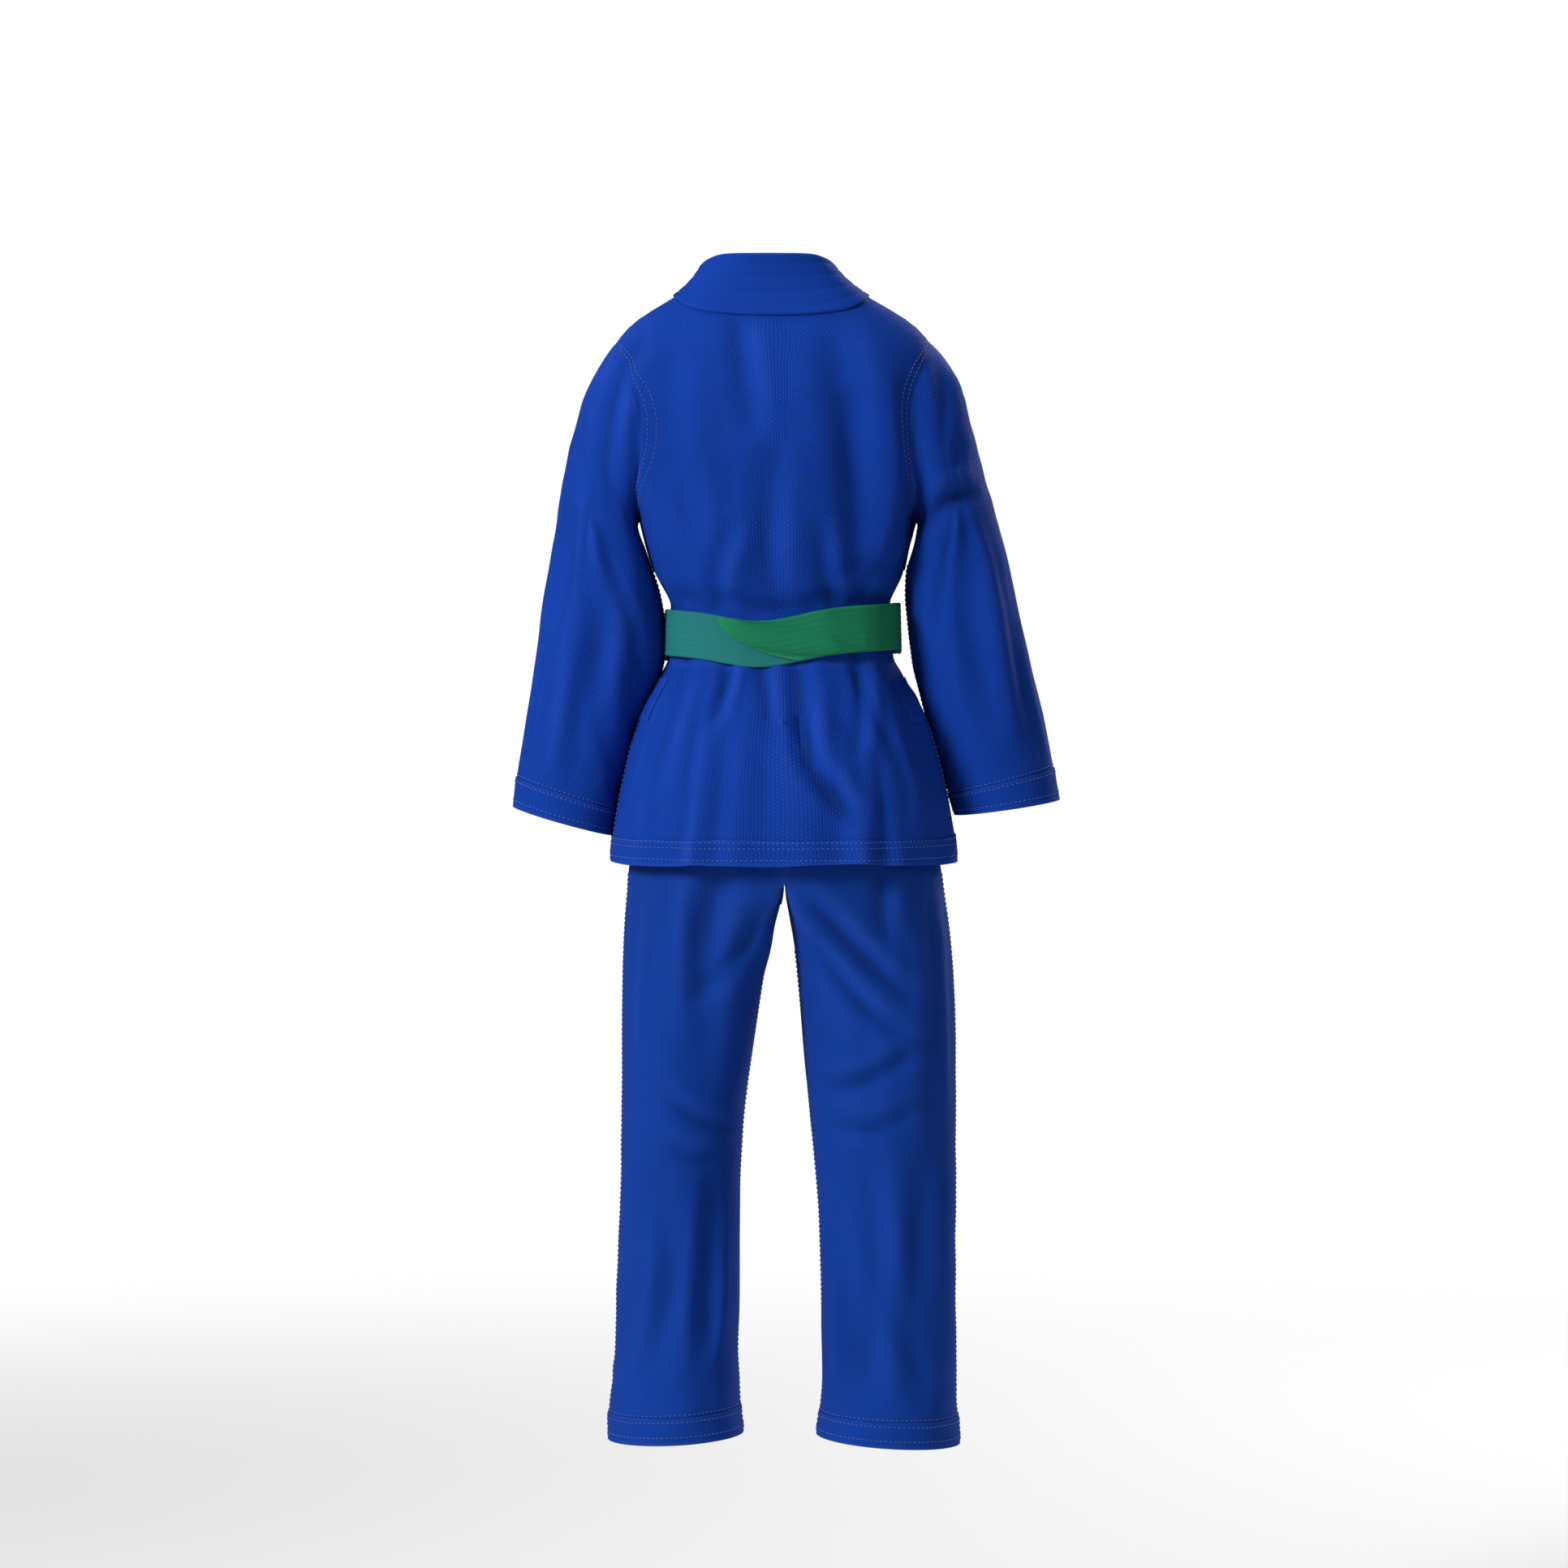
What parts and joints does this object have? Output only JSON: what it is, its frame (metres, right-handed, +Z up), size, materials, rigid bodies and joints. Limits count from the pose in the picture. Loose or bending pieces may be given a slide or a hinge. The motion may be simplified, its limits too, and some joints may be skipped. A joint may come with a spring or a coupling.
{
  "type": "martial arts uniform",
  "caption": "Judo-cut training uniform shaped as worn: wrapped jacket with collar band, wide sleeves and vented skirts, knotted belt, loose trousers.",
  "frame": {"origin": "on the wearer's centre line at the base of the neck, in the middle of the neck opening", "axes": "+Z up, +X towards the wearer's left, -Y towards the front of the uniform"},
  "size_m": [0.479, 0.229, 1.0362],
  "materials": {
    "jacket_cloth": "matt woven cotton, royal blue",
    "trouser_cloth": "matt plain-woven cotton, royal blue",
    "belt_cloth": "stitched cotton belt, green, slight sheen"
  },
  "bodies": {
    "jacket": {"back_panel": "jacket_cloth", "shoulder_yoke": "jacket_cloth", "neck_collar": "jacket_cloth", "front_panel_left": "jacket_cloth", "front_panel_right": "jacket_cloth", "lapel_left": "jacket_cloth", "lapel_right": "jacket_cloth", "underarm_gusset_left": "jacket_cloth", "underarm_gusset_right": "jacket_cloth", "belt_inner_wrap": "belt_cloth", "belt_outer_wrap": "belt_cloth", "belt_knot": "belt_cloth"},
    "back_skirt": {"back_skirt": "jacket_cloth", "back_hem_band": "jacket_cloth", "vent_patch_left": "jacket_cloth", "vent_patch_right": "jacket_cloth"},
    "front_skirt": {"front_skirt_left": "jacket_cloth", "front_skirt_right": "jacket_cloth", "front_hem_band_left": "jacket_cloth", "front_hem_band_right": "jacket_cloth", "skirt_lapel_left": "jacket_cloth", "skirt_lapel_right": "jacket_cloth"},
    "sleeve_left": {"sleeve_left": "jacket_cloth", "cuff_left": "jacket_cloth"},
    "sleeve_right": {"sleeve_right": "jacket_cloth", "cuff_right": "jacket_cloth"},
    "belt_end_left": {"belt_end_left": "belt_cloth"},
    "belt_end_right": {"belt_end_right": "belt_cloth"},
    "trousers": {"waistband": "trouser_cloth", "seat_back": "trouser_cloth", "seat_front": "trouser_cloth", "crotch_gusset": "trouser_cloth", "drawstring_loop_left": "trouser_cloth", "drawstring_loop_right": "trouser_cloth"},
    "leg_left": {"trouser_leg_left": "trouser_cloth", "trouser_hem_left": "trouser_cloth", "knee_patch_left": "trouser_cloth"},
    "leg_right": {"trouser_leg_right": "trouser_cloth", "trouser_hem_right": "trouser_cloth", "knee_patch_right": "trouser_cloth"}
  },
  "joints": [
    {"name": "sleeve_left_raise", "type": "hinge", "parent": "jacket", "child": "sleeve_left", "pos_m": [0.153, 0, -0.034], "axis": [0, -1, 0], "range_deg": [0, 50]},
    {"name": "sleeve_right_raise", "type": "hinge", "parent": "jacket", "child": "sleeve_right", "pos_m": [-0.142, 0, -0.034], "axis": [0, 1, 0], "range_deg": [0, 50]},
    {"name": "back_skirt_lift", "type": "hinge", "parent": "jacket", "child": "back_skirt", "pos_m": [0, 0.066, -0.313], "axis": [1, 0, 0], "range_deg": [0, 18]},
    {"name": "front_skirt_lift", "type": "hinge", "parent": "jacket", "child": "front_skirt", "pos_m": [0, -0.075, -0.313], "axis": [-1, 0, 0], "range_deg": [0, 18]},
    {"name": "belt_end_left_swing", "type": "hinge", "parent": "front_skirt", "child": "belt_end_left", "pos_m": [0.021, -0.1, -0.314], "axis": [-1, 0, 0], "range_deg": [0, 45]},
    {"name": "belt_end_right_swing", "type": "hinge", "parent": "front_skirt", "child": "belt_end_right", "pos_m": [-0.021, -0.1, -0.314], "axis": [-1, 0, 0], "range_deg": [0, 45]},
    {"name": "trouser_drop", "type": "slide", "parent": "jacket", "child": "trousers", "axis": [0, 0, -1], "range_m": [0, 0.25]},
    {"name": "leg_left_spread", "type": "hinge", "parent": "trousers", "child": "leg_left", "pos_m": [0.134, 0, -0.478], "axis": [0, -1, 0], "range_deg": [0, 20]},
    {"name": "leg_right_spread", "type": "hinge", "parent": "trousers", "child": "leg_right", "pos_m": [-0.134, 0, -0.478], "axis": [0, 1, 0], "range_deg": [0, 20]}
  ]
}
